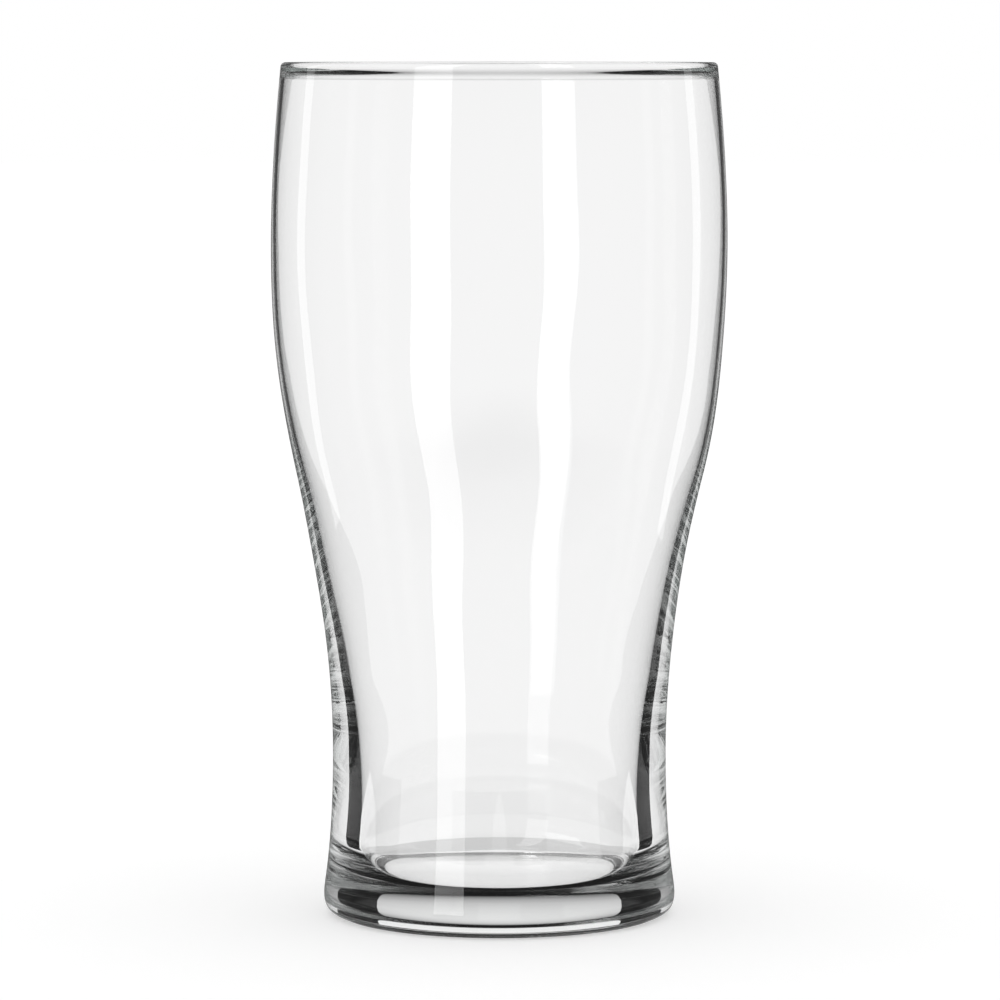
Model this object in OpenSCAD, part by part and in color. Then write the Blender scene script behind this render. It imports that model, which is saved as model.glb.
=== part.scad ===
// Tulip beer glass with a heavy base: one piece of clear glass, pressed and then blown in a mould.
// Everything is round about the Z axis. The glass stands on z = 0 and its mouth is at the top.

/* [Overall] */
// Height from the table to the top of the lip
glass_h = 154.8; // [140:0.1:180]

/* [Rim] */
// Outside diameter where the rounded lip begins
rim_d = 78.9; // [72:0.1:86]
// Inward lean of the wall at the lip, in degrees
rim_lean = 5.7; // [0:0.1:12]
// Thickness of the rounded bead along the lip
lip_t = 1.75; // [1:0.05:2.4]
// Height over which the wall swells inwards to that bead
lip_h = 1.8; // [1:0.1:6]
// Height of the rim's zone of the glass
rim_h = 14; // [11:0.5:20]

/* [Bowl] */
// Largest outside diameter
belly_d = 82.6; // [78:0.1:92]
// Height of the largest diameter
belly_z = 121.5; // [105:0.1:124]
// Outside diameter where the wall slopes most
taper_d = 73.8; // [68:0.1:77]
// Height of that place
taper_z = 80.4; // [72:0.1:90]
// Slope of the wall there, in degrees from upright
taper_lean = 13; // [8:0.1:18]

/* [Waist] */
// Smallest outside diameter
waist_d = 60.7; // [54:0.1:63]
// Height of the smallest diameter
waist_z = 29.8; // [22:0.1:36]

/* [Foot] */
// Outside diameter where the flare turns into the heel
flare_d = 63.7; // [61:0.1:70]
// Height of that place
flare_z = 5.7; // [4.5:0.1:6.4]
// Outward lean of the flare there, in degrees
flare_lean = 8.3; // [2:0.1:14]
// How far the heel keeps the flare's direction before it turns under
heel_fullness = 5.2; // [3:0.1:6]
// Angle at which the heel reaches the table, in degrees from upright
heel_angle = 62; // [45:1:80]
// How far the heel keeps that angle as it reaches the table
heel_edge = 1.6; // [0.8:0.1:2.5]
// Outside diameter of the ring that the glass stands on
bearing_d = 58.4; // [54:0.1:60]

/* [Wall] */
// Wall from the largest diameter upwards, measured level
belly_wall = 0.85; // [0.75:0.05:1]
// Wall where it slopes most
taper_wall = 1.35; // [1:0.05:3]
// Wall half way down to the waist
lower_wall = 3.25; // [2:0.05:4.5]
// Height of that place
lower_z = 45; // [38:0.5:60]
// Wall at the top of the inside corner
corner_wall = 5.4; // [4:0.05:7]

/* [Inside floor] */
// Thickness of the base, from the table to the inside floor
floor_z = 7.6; // [6.5:0.1:12]
// Diameter of the flat of the inside floor
floor_d = 47; // [38:0.1:47.5]
// Height of the rounded corner between the floor and the wall
corner_h = 6; // [3:0.1:12]

/* [Underside] */
// Diameter of the hollow under the base
hollow_d = 46; // [40:0.1:53]
// Depth of that hollow
hollow_h = 0.3; // [0.2:0.1:2]
// Width of the rounded shoulder round its flat roof
hollow_edge = 1.5; // [0.5:0.1:4]

/* [Hidden] */
clear_glass = [0.86, 0.91, 0.90, 0.35];
round_steps = 180;
// Points on each curve of the section: along a stretch of wall, round the heel and corner, and round the lip
wall_steps = 16;
bend_steps = 12;
lip_steps = 10;
// Height at which the lip's half circle begins, and the level faces between the zones
lip_z = glass_h - lip_t / 2;
rim_z = glass_h - rim_h;
corner_z = floor_z + corner_h;

// Places that the outside passes through, from the flare up: [height, radius, slope of radius over height]
outside = [
    [flare_z, flare_d / 2, -tan(flare_lean)],
    [waist_z, waist_d / 2, 0],
    [taper_z, taper_d / 2, tan(taper_lean)],
    [belly_z, belly_d / 2, 0],
    [lip_z, rim_d / 2, -tan(rim_lean)]
];

// Places where the wall's thickness is set, from the inside corner up: [height, thickness]
walls = [
    [corner_z, corner_wall],
    [lower_z, lower_wall],
    [taper_z, taper_wall],
    [belly_z, belly_wall],
    [lip_z - lip_h, belly_wall],
    [lip_z, belly_wall]
];

// The thickness changes at the mean rate of the stretches beside each place, and not at all at either end
function rate(i) = (walls[i + 1][1] - walls[i][1]) / (walls[i + 1][0] - walls[i][0]);
thickness = [
    for (i = [0 : len(walls) - 1])
        let (inner = i > 0 && i < len(walls) - 1)
        [walls[i][0], walls[i][1], inner ? (rate(i - 1) + rate(i)) / 2 : 0]
];

// Value at height z of the cubic curve between two places, each [height, value, slope]
function cubic(a, b, z) =
    let (h = b[0] - a[0], t = (z - a[0]) / h)
    (2 * pow(t, 3) - 3 * pow(t, 2) + 1) * a[1] + (pow(t, 3) - 2 * pow(t, 2) + t) * h * a[2]
    + (3 * pow(t, 2) - 2 * pow(t, 3)) * b[1] + (pow(t, 3) - pow(t, 2)) * h * b[2];

// Value at height z of the smooth curve through all the places of a list
function along(places, z, i = 0) =
    i == len(places) - 2 || z <= places[i + 1][0]
        ? cubic(places[i], places[i + 1], z)
        : along(places, z, i + 1);

// Heights from the first place to the last, in equal steps on each stretch
function heights(places) = [
    for (i = [0 : len(places) - 2], k = [0 : wall_steps - 1])
        places[i][0] + (places[i + 1][0] - places[i][0]) * k / wall_steps,
    places[len(places) - 1][0]
];
function reversed(list) = [for (i = [len(list) - 1 : -1 : 0]) list[i]];

// The hollow under the base has a flat roof, and a quarter of an ellipse round it down to the bearing ring
roof_r = hollow_d / 2 - hollow_edge;
hollow_curve = [
    [0, hollow_h],
    for (k = [0 : bend_steps])
        let (a = 90 * k / bend_steps)
        [roof_r + hollow_edge * sin(a), hollow_h * cos(a)]
];

// The heel is one cubic bend from the bearing ring up into the flare
heel_foot = [bearing_d / 2, 0];
heel_head = [flare_d / 2, flare_z];
heel_low = heel_foot + heel_edge * [sin(heel_angle), cos(heel_angle)];
heel_high = heel_head + heel_fullness * [sin(flare_lean), -cos(flare_lean)];
heel_curve = [
    for (k = [0 : bend_steps - 1])
        let (t = k / bend_steps)
        pow(1 - t, 3) * heel_foot + 3 * t * pow(1 - t, 2) * heel_low
        + 3 * t * t * (1 - t) * heel_high + pow(t, 3) * heel_head
];

outer_curve = [for (z = heights(outside)) [along(outside, z), z]];

// The lip is a half circle over the top of the wall
lip_curve = [
    for (k = [1 : lip_steps - 1])
        let (a = 180 * k / lip_steps)
        [rim_d / 2 - lip_t / 2 * (1 - cos(a)), lip_z + lip_t / 2 * sin(a)]
];

// Under the bead the wall swells inwards to its thickness, in a smooth step
function step_up(t) = t * t * (3 - 2 * t);
function swell(z) = (lip_t - belly_wall) * step_up(max(0, 1 - (lip_z - z) / lip_h));
function inside(z) = along(outside, z) - along(thickness, z) - swell(z);
inner_curve = [for (z = reversed(heights(thickness))) [inside(z), z]];

// The inside corner is a quarter of an ellipse from the wall down to the flat of the floor
corner_w = inside(corner_z) - floor_d / 2;
corner_curve = [
    for (k = [1 : bend_steps])
        let (a = 90 * k / bend_steps)
        [floor_d / 2 + corner_w * cos(a), corner_z - corner_h * sin(a)]
];

module glass_section() {
    polygon(concat(hollow_curve, heel_curve, outer_curve, lip_curve, inner_curve, corner_curve, [[0, floor_z]]));
}

// The glass between two level faces
module zone(low_z, high_z) {
    color(clear_glass) {
        rotate_extrude($fn = round_steps) {
            intersection() {
                glass_section();
                translate([0, low_z]) square([belly_d, high_z - low_z]);
            }
        }
    }
}

// Thick disc from the table to the level of the inside floor, with the heel and the hollow underneath
module base() { zone(0, floor_z); }

// Thick wall from the inside floor up through the waist to where the bowl slopes most
module waist_wall() { zone(floor_z, taper_z); }

// Thin wall round the belly
module bowl_wall() { zone(taper_z, rim_z); }

// Upper edge of the wall with the rounded bead along its lip
module rim() { zone(rim_z, glass_h); }

base();
waist_wall();
bowl_wall();
rim();
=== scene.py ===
import math

import bpy
import numpy as np
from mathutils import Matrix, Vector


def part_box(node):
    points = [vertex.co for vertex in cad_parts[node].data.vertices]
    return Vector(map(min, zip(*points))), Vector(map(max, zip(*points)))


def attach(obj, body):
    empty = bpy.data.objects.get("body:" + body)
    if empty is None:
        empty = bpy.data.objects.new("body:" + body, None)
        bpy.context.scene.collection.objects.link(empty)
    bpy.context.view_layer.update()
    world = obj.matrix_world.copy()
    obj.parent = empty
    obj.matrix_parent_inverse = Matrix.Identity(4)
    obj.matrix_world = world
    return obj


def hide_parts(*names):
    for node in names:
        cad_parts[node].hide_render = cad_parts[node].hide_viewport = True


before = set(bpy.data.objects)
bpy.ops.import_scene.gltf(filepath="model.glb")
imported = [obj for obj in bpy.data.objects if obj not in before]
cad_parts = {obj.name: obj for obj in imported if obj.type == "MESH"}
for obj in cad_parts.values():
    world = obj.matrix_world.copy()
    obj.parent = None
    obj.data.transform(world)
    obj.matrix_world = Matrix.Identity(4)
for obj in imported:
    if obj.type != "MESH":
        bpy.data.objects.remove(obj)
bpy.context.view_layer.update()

# The glass: one piece of soda-lime glass, pressed, blown in a mould and fire-polished at the rim.
# The wall is thin round the belly and grows thick down to a heavy base, which stands on a flat ring.
# Its sizes are those of the solids, in mm and degrees: some come from the zones' boxes, the rest are repeated.
MM = 0.001
base_low, base_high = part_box("base")
rim_low, rim_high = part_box("rim")
bowl_low, bowl_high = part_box("bowl_wall")
glass_h = rim_high.z / MM
belly_d = (bowl_high.x - bowl_low.x) / MM
taper_z = bowl_low.z / MM
floor_z = base_high.z / MM

rim_d, rim_lean, lip_t, lip_h = 78.9, 5.7, 1.75, 1.8
belly_z, taper_d, taper_lean = 121.5, 73.8, 13.0
waist_d, waist_z = 60.7, 29.8
flare_d, flare_z, flare_lean = 63.7, 5.7, 8.3
heel_fullness, heel_angle, heel_edge = 5.2, 62.0, 1.6
bearing_d, hollow_d, hollow_h, hollow_edge = 58.4, 46.0, 0.3, 1.5
belly_wall, taper_wall, lower_wall, lower_z, corner_wall = 0.85, 1.35, 3.25, 45.0, 5.4
floor_d, corner_h = 47.0, 6.0
# The slow waves that a blown wall keeps from its mould, which bend the pale streaks a little
wave_mm, wave_from, wave_to = 0.06, 20.0, 148.0
# Points round the glass and along each part of its section
around = 320
flat_steps, shoulder_steps, heel_steps, outer_steps = 4, 9, 16, 121
lip_steps, bead_steps, under_bead_steps, inner_steps, corner_steps = 16, 12, 8, 96, 17
under_bead = 4


def tangent(degrees):
    """The tangent of an angle in degrees."""
    return math.tan(math.radians(degrees))


def cubic_through(places, z):
    """Cubic curve in z through places of (height, value, slope).

    Each stretch meets the values and the slopes at both of its ends.
    """
    places = np.asarray(places)
    i = np.clip(np.searchsorted(places[:, 0], z) - 1, 0, len(places) - 2)
    low, high = places[i], places[i + 1]
    h = high[:, 0] - low[:, 0]
    t = (z - low[:, 0]) / h
    return (
        (2 * t**3 - 3 * t**2 + 1) * low[:, 1]
        + (t**3 - 2 * t**2 + t) * h * low[:, 2]
        + (3 * t**2 - 2 * t**3) * high[:, 1]
        + (t**3 - t**2) * h * high[:, 2]
    )


def bend(start, start_pull, end_pull, end, steps):
    """Cubic bend from start to end: leaves towards start + start_pull and arrives from end + end_pull."""
    t = np.linspace(0, 1, steps)[:, None]
    a, d = np.array(start), np.array(end)
    b, c = a + np.array(start_pull), d + np.array(end_pull)
    return (1 - t) ** 3 * a + 3 * t * (1 - t) ** 2 * b + 3 * t**2 * (1 - t) * c + t**3 * d


lip_z = glass_h - lip_t / 2
corner_z = floor_z + corner_h
outside_places = [
    (flare_z, flare_d / 2, -tangent(flare_lean)),
    (waist_z, waist_d / 2, 0),
    (taper_z, taper_d / 2, tangent(taper_lean)),
    (belly_z, belly_d / 2, 0),
    (lip_z, rim_d / 2, -tangent(rim_lean)),
]
wall_z = np.array([corner_z, lower_z, taper_z, belly_z, lip_z - lip_h, lip_z])
wall_t = np.array([corner_wall, lower_wall, taper_wall, belly_wall, belly_wall, belly_wall])
wall_rate = np.diff(wall_t) / np.diff(wall_z)
wall_slope = np.concatenate([[0], (wall_rate[:-1] + wall_rate[1:]) / 2, [0]])
wall_places = np.column_stack([wall_z, wall_t, wall_slope])


def outside_radius(z):
    """Outer radius at height z, on the curve through the flare, waist, taper, belly and lip."""
    return cubic_through(outside_places, z)


def inside_radius(z):
    """Outer radius less the wall, which swells to the bead under the lip.

    The swell is a smooth step, t * t * (3 - 2 * t).
    """
    t = np.clip(1 - (lip_z - z) / lip_h, 0, 1)
    swell = (lip_t - belly_wall) * t * t * (3 - 2 * t)
    return outside_radius(z) - cubic_through(wall_places, z) - swell


def glass_section():
    """Half section as (radius, height) points in mm.

    It runs from the axis under the base outwards, up the outside, over the lip and down the inside.
    """
    roof_r = np.linspace(0, hollow_d / 2 - hollow_edge, flat_steps)
    roof = np.column_stack([roof_r, np.full_like(roof_r, hollow_h)])
    s = np.linspace(0, math.pi / 2, shoulder_steps)[1:]
    shoulder = np.column_stack([roof_r[-1] + hollow_edge * np.sin(s), hollow_h * np.cos(s)])
    lean = math.radians(flare_lean)
    end = math.radians(heel_angle)
    heel = bend(
        (bearing_d / 2, 0),
        (heel_edge * math.sin(end), heel_edge * math.cos(end)),
        (heel_fullness * math.sin(lean), -heel_fullness * math.cos(lean)),
        (flare_d / 2, flare_z),
        heel_steps,
    )
    out_z = np.linspace(flare_z, lip_z, outer_steps)[1:]
    outer = np.column_stack([outside_radius(out_z), out_z])
    a = np.linspace(0, math.pi, lip_steps)[1:-1]
    lip = np.column_stack([rim_d / 2 - lip_t / 2 * (1 - np.cos(a)), lip_z + lip_t / 2 * np.sin(a)])
    bead_z = lip_z - lip_h * np.array([1, under_bead])
    stretches = [
        (lip_z, bead_z[0], bead_steps),
        (bead_z[0], bead_z[1], under_bead_steps),
        (bead_z[1], corner_z, inner_steps),
    ]
    in_z = np.concatenate([np.linspace(*stretch, endpoint=False) for stretch in stretches] + [[corner_z]])
    inner = np.column_stack([inside_radius(in_z), in_z])
    b = np.linspace(0, math.pi / 2, corner_steps)[1:]
    corner_w = inner[-1, 0] - floor_d / 2
    corner = np.column_stack([floor_d / 2 + corner_w * np.cos(b), corner_z - corner_h * np.sin(b)])
    floor_r = np.linspace(floor_d / 2, 0, flat_steps)[1:]
    flat = np.column_stack([floor_r, np.full_like(floor_r, floor_z)])
    return np.concatenate([roof, shoulder, heel, outer, lip, inner, corner, flat])


def mould_waves(height, turn):
    """Change of radius in mm: the sum of three slow waves that wind up and round the wall.

    Their height follows the square of a half sine wave, so that they die away to the base and the lip.
    """
    share = np.clip((height - wave_from) / (wave_to - wave_from), 0, 1)
    waves = np.sin(3 * turn + height / 11) + np.sin(5 * turn - height / 8) + np.sin(7 * turn + height / 6)
    return wave_mm * np.sin(math.pi * share) ** 2 * waves


def turned_mesh(name, section, steps):
    """Surface of revolution with waves: each point of the section is carried round the Z axis.

    A point on the axis closes it at each end.
    """
    turn = np.arange(steps) * 2 * math.pi / steps
    ring = section[1:-1] * MM
    radius = ring[:, 0, None] + mould_waves(section[1:-1, 1, None], turn) * MM
    grid = np.stack(
        [
            radius * np.cos(turn),
            radius * np.sin(turn),
            np.broadcast_to(ring[:, 1, None], (len(ring), steps)),
        ],
        axis=-1,
    ).reshape(-1, 3)
    poles = np.array([[0, 0, section[0, 1] * MM], [0, 0, section[-1, 1] * MM]])
    row, step = np.meshgrid(np.arange(len(ring) - 1), np.arange(steps), indexing="ij")
    after = (step + 1) % steps
    low, high = row * steps, (row + 1) * steps
    quads = np.stack([low + step, low + after, high + after, high + step], axis=-1).reshape(-1, 4)
    first, last = len(grid), len(grid) + 1
    here, there = np.arange(steps), (np.arange(steps) + 1) % steps
    top = (len(ring) - 1) * steps
    under = np.column_stack([np.full(steps, first), there, here])
    over = np.column_stack([np.full(steps, last), top + here, top + there])
    mesh = bpy.data.meshes.new(name)
    mesh.from_pydata(
        np.concatenate([grid, poles]).tolist(), [], quads.tolist() + under.tolist() + over.tolist()
    )
    mesh.polygons.foreach_set("use_smooth", np.ones(len(mesh.polygons), dtype=bool))
    mesh.update()
    return mesh


def linear(hex_colour):
    """Linear RGBA of an sRGB hex colour such as '#f4f8f6'."""
    c = np.array([int(hex_colour[i : i + 2], 16) for i in (1, 3, 5)]) / 255
    return (*np.where(c <= 0.04045, c / 12.92, ((c + 0.055) / 1.055) ** 2.4), 1.0)


def add_node(tree, kind, links=(), **settings):
    """Adds one shader node: settings fill its sockets or properties, and links are (source, input) pairs."""
    node = tree.nodes.new(kind)
    for key, value in settings.items():
        socket = node.inputs.get(key.replace("_", " "))
        if socket is not None:
            socket.default_value = value
        else:
            setattr(node, key, value)
    for source, target in links:
        tree.links.new(source, node.inputs[target])
    return node


def new_material(name):
    """An empty node material, its tree and its output node."""
    material = bpy.data.materials.new(name)
    material.use_nodes = True
    material.node_tree.nodes.clear()
    return material, material.node_tree, add_node(material.node_tree, "ShaderNodeOutputMaterial")


# Soda-lime glass, fire-polished: with no grain and no roughness, it shows only as the bright and dark lines
# where it bends light, and the thick base and the wall seen edge-on have a trace of grey from their depth.
soda_lime, tree, output = new_material("soda_lime_glass_fire_polished")
surface = add_node(
    tree,
    "ShaderNodeBsdfPrincipled",
    Base_Color=linear("#ffffff"),
    Roughness=0.0,
    IOR=1.52,
    Transmission_Weight=1.0,
)
depth = add_node(tree, "ShaderNodeVolumeAbsorption", Color=linear("#e6e9e8"), Density=5.0)
tree.links.new(surface.outputs["BSDF"], output.inputs["Surface"])
tree.links.new(depth.outputs["Volume"], output.inputs["Volume"])

glass = bpy.data.objects.new("glass", turned_mesh("glass", glass_section(), around))
glass.data.materials.append(soda_lime)
bpy.context.collection.objects.link(glass)
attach(glass, "root")
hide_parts("base", "waist_wall", "bowl_wall", "rim")

# The table: a plain white surface that keeps the soft shadow of the glass.
# The glass mirrors it as a painted dim grey, shows a painted grey ring of shade round its foot,
# and turns a painted near-black shade, out to that ring's edge, back in its base.
table_r, table_gap = 6.0, 0.00005
seen_white, ring_shade, mirrored_grey, turned_dark = 0.945, 0.22, 0.14, 0.006
# Painted shade and light: light reflected inside the glass is painted dimmer for each turn after the first,
# and painted white after many turns.
painted_turn_dimming, second_turn, many_turns = 0.85, 1.5, 9.5
camera_glow = 0.45
foot_shade_r, foot_shade_edge, foot_r, many_reach = 0.048, 0.003, 0.031, 0.06


def light_paths(tree):
    """Sorts rays by what the glass did to them, and gives the light left to those reflected inside it.

    inside: met a mirror at least once and left by crossing the surface. in_and_out: crossed the surface
    just twice. turned: met a mirror and crossed just twice, so that it was turned back inside the glass.
    mirrored: met a mirror in any other way. again: met more than one. many: went round for many turns.
    left: the light left, painted dimmer with each turn after the first, while light that went round for many
    turns is painted white.
    """
    path = add_node(tree, "ShaderNodeLightPath")
    turns, crossings = path.outputs["Glossy Depth"], path.outputs["Transmission Depth"]
    met = add_node(tree, "ShaderNodeMath", operation="MINIMUM", links=[(turns, 0)])
    met.inputs[1].default_value = 1.0
    leaving = [(met.outputs[0], 0), (path.outputs["Is Transmission Ray"], 1)]
    inside = add_node(tree, "ShaderNodeMath", operation="MULTIPLY", links=leaving)
    in_and_out = add_node(tree, "ShaderNodeMath", operation="COMPARE", links=[(crossings, 0)])
    in_and_out.inputs[1].default_value, in_and_out.inputs[2].default_value = 2.0, 0.5
    both = [(met.outputs[0], 0), (in_and_out.outputs[0], 1)]
    turned = add_node(tree, "ShaderNodeMath", operation="MULTIPLY", links=both)
    rest = [(met.outputs[0], 0), (turned.outputs[0], 1)]
    mirrored = add_node(tree, "ShaderNodeMath", operation="SUBTRACT", links=rest)
    later_turns = add_node(tree, "ShaderNodeMath", operation="SUBTRACT", links=[(turns, 0)])
    later_turns.inputs[1].default_value = 1.0
    # Painted shade: the light left drops with each turn after the first, and is painted white after many
    # turns.
    drop = add_node(tree, "ShaderNodeMath", operation="POWER", links=[(later_turns.outputs[0], 1)])
    drop.inputs[0].default_value = painted_turn_dimming
    many = add_node(tree, "ShaderNodeMath", operation="GREATER_THAN", links=[(turns, 0)])
    many.inputs[1].default_value = many_turns
    again = add_node(tree, "ShaderNodeMath", operation="GREATER_THAN", links=[(turns, 0)])
    again.inputs[1].default_value = second_turn
    brighter = [(drop.outputs[0], 0), (many.outputs[0], 1)]
    left = add_node(tree, "ShaderNodeMath", operation="MAXIMUM", links=brighter)
    sorts = {"inside": inside, "in_and_out": in_and_out, "turned": turned, "mirrored": mirrored}
    sorts |= {"again": again, "many": many, "left": left}
    return path, {name: node.outputs[0] for name, node in sorts.items()}


turn = np.linspace(0, 2 * math.pi, 97)[:-1]
table_mesh = bpy.data.meshes.new("table")
edge = np.column_stack([table_r * np.cos(turn), table_r * np.sin(turn), np.full_like(turn, -table_gap)])
table_mesh.from_pydata(edge.tolist(), [], [list(range(len(turn)))])
white_table, tree, output = new_material("white_table")
path, rays = light_paths(tree)
place = add_node(tree, "ShaderNodeTexCoord")
out = add_node(tree, "ShaderNodeVectorMath", operation="LENGTH", links=[(place.outputs["Object"], 0)])
# Painted shade: seen through the glass, the table is painted darker by ring_shade between foot_r and
# foot_shade_r.
ring = add_node(tree, "ShaderNodeMath", operation="COMPARE", links=[(out.outputs["Value"], 0)])
ring.inputs[1].default_value = (foot_shade_r + foot_r) / 2
ring.inputs[2].default_value = (foot_shade_r - foot_r) / 2
through = add_node(tree, "ShaderNodeMath", operation="MULTIPLY_ADD", links=[(ring.outputs[0], 0)])
through.inputs[1].default_value, through.inputs[2].default_value = -ring_shade, seen_white
# Painted shade: in light turned back inside the glass, the table is painted near black out to foot_shade_r,
# and further out for light that went round many turns.
nearer = [(rays["many"], 0), (out.outputs["Value"], 2)]
shaded = add_node(tree, "ShaderNodeMath", operation="MULTIPLY_ADD", links=nearer)
shaded.inputs[1].default_value = -many_reach
painted_foot_shade = add_node(
    tree,
    "ShaderNodeMapRange",
    links=[(shaded.outputs[0], "Value"), (rays["left"], "To Max")],
    From_Min=foot_shade_r - foot_shade_edge,
    From_Max=foot_shade_r + foot_shade_edge,
    To_Min=turned_dark,
)
paint = add_node(tree, "ShaderNodeBsdfDiffuse", Color=linear("#f2f2f2"))
thin_paint = add_node(tree, "ShaderNodeBsdfDiffuse", Color=linear("#cccccc"))
glow = add_node(tree, "ShaderNodeEmission", Color=linear("#ffffff"), Strength=camera_glow)
lit_paint = [(thin_paint.outputs[0], 0), (glow.outputs[0], 1)]
to_camera = add_node(tree, "ShaderNodeAddShader", links=lit_paint)
strength = [(through.outputs[0], "Strength")]
to_glass = add_node(tree, "ShaderNodeEmission", Color=linear("#ffffff"), links=strength)
to_mirror = add_node(tree, "ShaderNodeEmission", Color=linear("#ffffff"), Strength=mirrored_grey)
strength = [(painted_foot_shade.outputs[0], "Strength")]
to_base = add_node(tree, "ShaderNodeEmission", Color=linear("#ffffff"), links=strength)
shade = paint
for chosen, shader in [
    (path.outputs["Is Camera Ray"], to_camera),
    (path.outputs["Is Glossy Ray"], to_mirror),
    (path.outputs["Is Transmission Ray"], to_glass),
    (rays["inside"], to_base),
]:
    parts = [(chosen, 0), (shade.outputs[0], 1), (shader.outputs[0], 2)]
    shade = add_node(tree, "ShaderNodeMixShader", links=parts)
tree.links.new(shade.outputs[0], output.inputs["Surface"])
table = bpy.data.objects.new("table", table_mesh)
table_mesh.materials.append(white_table)
bpy.context.collection.objects.link(table)

# The dark cards: black card standing close round the glass, as round any clear glass shown on white.
# They show only in light that was turned back inside the glass, and draw the dark lines along its edges.
# They stand on its four sides in pairs, wider apart at the foot, where they shade the base.
card_r, card_z = 54.0, np.array([0, 12, 16, 20, 45, 63, 75, 95, 120, 135, 150, 175])
card_from = np.array([65, 63, 62, 62, 59, 57, 60, 65, 65, 62, 58, 55])
card_to = np.array([81.5, 81.5, 90, 90, 90, 90, 90, 90, 90, 90, 90, 90])
foot_cards, ray_drop, edge_share = 3, 8.0, 0.985


def standing_cards(name, material, radius, heights, from_bearing, to_bearing, turns, reach, steps=12):
    """Upright cards on a cylinder: each is a grid of bearings, from edge to edge, and heights in mm.

    Bearings are in degrees from the camera's side towards the left, one pair of edges for each height,
    and each turn in degrees sets one more card. The reach, one for each height, is the shortest way in mm
    from the glass at which a ray meets the card.
    """
    share = np.linspace(0, 1, steps + 1)
    one = from_bearing[:, None] * (1 - share) + to_bearing[:, None] * share
    bearing = np.radians(np.asarray(turns)[:, None, None] + one)
    height = np.broadcast_to(heights[:, None], bearing.shape)
    x, y = -radius * np.sin(bearing), -radius * np.cos(bearing)
    points = np.stack([x, y, height], axis=-1).reshape(-1, 3)
    index = np.arange(bearing.size).reshape(bearing.shape)
    corners = [index[:, :-1, :-1], index[:, :-1, 1:], index[:, 1:, 1:], index[:, 1:, :-1]]
    quads = np.stack(corners, axis=-1).reshape(-1, 4)
    mesh = bpy.data.meshes.new(name)
    mesh.from_pydata((points * MM).tolist(), [], quads.tolist())
    mesh.polygons.foreach_set("use_smooth", np.ones(len(mesh.polygons), dtype=bool))
    shortest = np.broadcast_to(reach[:, None] * MM, bearing.shape).ravel().astype(np.float32)
    mesh.attributes.new("reach", "FLOAT", "POINT").data.foreach_set("value", shortest)
    mesh.materials.append(material)
    cards = bpy.data.objects.new(name, mesh)
    bpy.context.collection.objects.link(cards)


wall_card, tree, output = new_material("black_card_beside_the_wall")
path, rays = light_paths(tree)
reach = add_node(tree, "ShaderNodeAttribute", attribute_name="reach")
long_way = [(path.outputs["Ray Length"], 0), (reach.outputs["Fac"], 1)]
far_enough = add_node(tree, "ShaderNodeMath", operation="GREATER_THAN", links=long_way)
few_turns = [(rays["turned"], 0), (rays["many"], 1)]
turned_few = add_node(tree, "ShaderNodeMath", operation="SUBTRACT", use_clamp=True, links=few_turns)
both = [(turned_few.outputs[0], 0), (far_enough.outputs[0], 1)]
shown = add_node(tree, "ShaderNodeMath", operation="MULTIPLY", links=both)
clear = add_node(tree, "ShaderNodeBsdfTransparent")
black = add_node(tree, "ShaderNodeEmission", Color=linear("#ffffff"), Strength=turned_dark)
parts = [(shown.outputs[0], 0), (clear.outputs[0], 1), (black.outputs[0], 2)]
mix = add_node(tree, "ShaderNodeMixShader", links=parts)
tree.links.new(mix.outputs[0], output.inputs["Surface"])

foot_card, tree, output = new_material("black_card_beside_the_foot")
path, rays = light_paths(tree)
clear = add_node(tree, "ShaderNodeBsdfTransparent")
black = add_node(tree, "ShaderNodeEmission", Color=linear("#ffffff"), Strength=turned_dark)
parts = [(rays["in_and_out"], 0), (clear.outputs[0], 1), (black.outputs[0], 2)]
mix = add_node(tree, "ShaderNodeMixShader", links=parts)
tree.links.new(mix.outputs[0], output.inputs["Surface"])

# Light from the wall's dark edge leaves the glass near the inside radius and falls a little on its way to the
# cards. It has further to go than light mirrored by the middle of the wall, which passes them.
leave_z = np.clip(card_z + ray_drop, corner_z, lip_z)
aside = edge_share * inside_radius(leave_z)
card_reach = np.sqrt(card_r**2 - aside**2) - np.sqrt(outside_radius(leave_z) ** 2 - aside**2)
quarter_turns = 90 * np.arange(4)
low_rows, high_rows = slice(0, foot_cards), slice(foot_cards - 1, None)
for side, sign in [("left", 1), ("right", -1)]:
    for name, material, rows in [("foot", foot_card, low_rows), ("wall", wall_card, high_rows)]:
        standing_cards(
            name + "_cards_" + side,
            material,
            card_r,
            card_z[rows],
            sign * card_from[rows],
            sign * card_to[rows],
            quarter_turns,
            card_reach[rows],
        )

# The soft boxes: tall strips of light on the left of the camera, and two narrow ones at the sides.
# They show only where the glass mirrors them, as the pale streaks down its front and back walls.
# Each wall has a strip of its own, so that both streaks lie in their places.
strip_r, strip_light, side_light = 120.0, 2.6, 1.2
front_wall, back_wall, any_wall = (0, 0), (3, 32), (0, 32)


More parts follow.
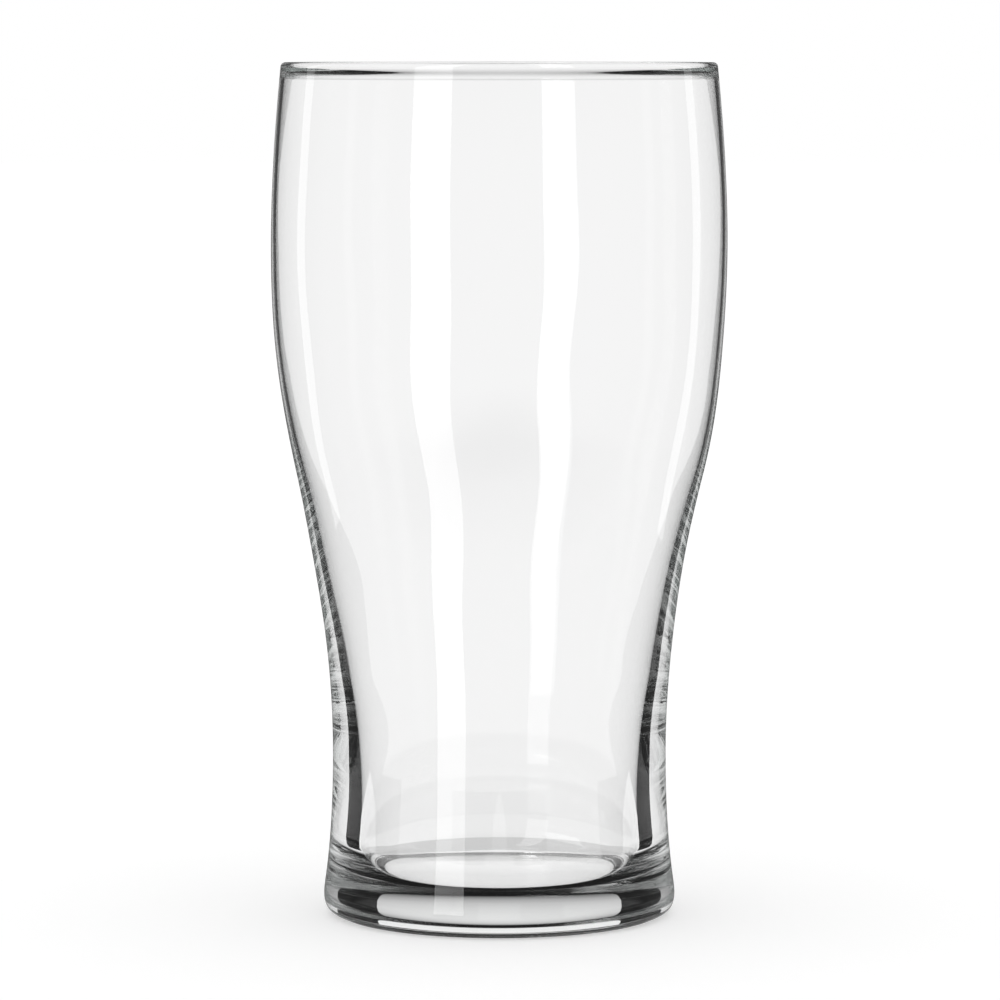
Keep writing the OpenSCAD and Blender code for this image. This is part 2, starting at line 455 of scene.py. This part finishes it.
def soft_box(name, strength, crossings):
    """A light that shows only in rays mirrored by the glass.

    The crossings are the fewest and the most times that such a ray has crossed the glass's surface.
    """
    fewest, most = crossings
    material, tree, output = new_material(name)
    path, rays = light_paths(tree)
    crossed = [(path.outputs["Transmission Depth"], 0)]
    in_range = add_node(tree, "ShaderNodeMath", operation="COMPARE", links=crossed)
    in_range.inputs[1].default_value = (fewest + most) / 2
    in_range.inputs[2].default_value = (most - fewest + 1) / 2
    both = [(rays["mirrored"], 0), (in_range.outputs[0], 1)]
    shown = add_node(tree, "ShaderNodeMath", operation="MULTIPLY", links=both)
    clear = add_node(tree, "ShaderNodeBsdfTransparent")
    lit = add_node(tree, "ShaderNodeEmission", Color=linear("#ffffff"), Strength=strength)
    parts = [(shown.outputs[0], 0), (clear.outputs[0], 1), (lit.outputs[0], 2)]
    mix = add_node(tree, "ShaderNodeMixShader", links=parts)
    tree.links.new(mix.outputs[0], output.inputs["Surface"])
    return material


for name, light, crossings, heights, bearings, turns in [
    ("front_strip", strip_light, front_wall, (0, 400), (20.2, 37.5), [0]),
    ("back_strip", strip_light, back_wall, (0, 400), (27, 48.5), [0]),
    ("side_strips", side_light, any_wall, (40, 250), (97, 104), [0, 159]),
]:
    low_high = np.array(heights, dtype=float)
    edges = np.repeat(np.array(bearings, dtype=float)[:, None], 2, axis=1)
    material = soft_box("soft_box_" + name, light, crossings)
    standing_cards(name, material, strip_r, low_high, edges[0], edges[1], turns, np.zeros(2))

# The surround: white paper all round, painted a dim grey where the glass mirrors it.
# Overhead it is painted a little darker through the glass, and painted dark where the glass turns it back from
# above.
# Light that was turned again or mirrored on its way starts to fade higher up.
fade_low, fade_high = math.sin(math.radians(6)), math.sin(math.radians(24))
again_lift, mirrored_lift = 0.08, 0.15
top_low, top_high, top_grey = math.sin(math.radians(8)), math.sin(math.radians(60)), 0.5
world = bpy.data.worlds.new("studio")
bpy.context.scene.world = world
world.use_nodes = True
tree = world.node_tree
tree.nodes.clear()
path, rays = light_paths(tree)
place = add_node(tree, "ShaderNodeTexCoord")
way = add_node(tree, "ShaderNodeSeparateXYZ", links=[(place.outputs["Generated"], 0)])
later = add_node(tree, "ShaderNodeMath", operation="MULTIPLY_ADD", links=[(rays["again"], 0)])
later.inputs[1].default_value, later.inputs[2].default_value = again_lift, fade_low
both = [(rays["mirrored"], 0), (later.outputs[0], 2)]
fade_start = add_node(tree, "ShaderNodeMath", operation="MULTIPLY_ADD", links=both)
fade_start.inputs[1].default_value = mirrored_lift
upwards = [(way.outputs["Z"], "Value"), (fade_start.outputs[0], "From Min"), (rays["left"], "To Min")]
fade = add_node(tree, "ShaderNodeMapRange", links=upwards, From_Max=fade_high, To_Max=turned_dark)
top = add_node(
    tree,
    "ShaderNodeMapRange",
    links=[(way.outputs["Z"], "Value")],
    From_Min=top_low,
    From_Max=top_high,
    To_Min=seen_white,
    To_Max=top_grey,
)
plain = add_node(tree, "ShaderNodeBackground", Color=linear("#ffffff"), Strength=1.0)
strength = [(top.outputs[0], "Strength")]
to_glass = add_node(tree, "ShaderNodeBackground", Color=linear("#ffffff"), links=strength)
to_mirror = add_node(tree, "ShaderNodeBackground", Color=linear("#ffffff"), Strength=mirrored_grey)
strength = [(fade.outputs[0], "Strength")]
to_base = add_node(tree, "ShaderNodeBackground", Color=linear("#ffffff"), links=strength)
shade = plain
for chosen, shader in [
    (path.outputs["Is Glossy Ray"], to_mirror),
    (path.outputs["Is Transmission Ray"], to_glass),
    (rays["inside"], to_base),
]:
    parts = [(chosen, 0), (shade.outputs[0], 1), (shader.outputs[0], 2)]
    shade = add_node(tree, "ShaderNodeMixShader", links=parts)
output = add_node(tree, "ShaderNodeOutputWorld", links=[(shade.outputs[0], "Surface")])

# The camera: a long lens, level with the rim and tipped down a little.
# Its place and lens were worked out from the outline, the rim and the base, with no shift.
lens_mm, sensor_mm = 187.83, 36.0
camera_aside, camera_back, camera_up, camera_pitch = 0.00013, 0.9447, 0.15809, 4.996
camera = bpy.data.objects.new("camera", bpy.data.cameras.new("camera"))
camera.data.lens = lens_mm
camera.data.sensor_width = sensor_mm
camera.location = (camera_aside, -camera_back, camera_up)
camera.rotation_euler = (math.radians(90 - camera_pitch), 0, 0)
bpy.context.collection.objects.link(camera)
bpy.context.scene.camera = camera

# The view: plain colours, and bounces enough for light that runs round inside the wall many times.
scene = bpy.context.scene
scene.view_settings.view_transform = "Standard"
scene.cycles.max_bounces = 256
scene.cycles.transmission_bounces = 32
scene.cycles.glossy_bounces = 256
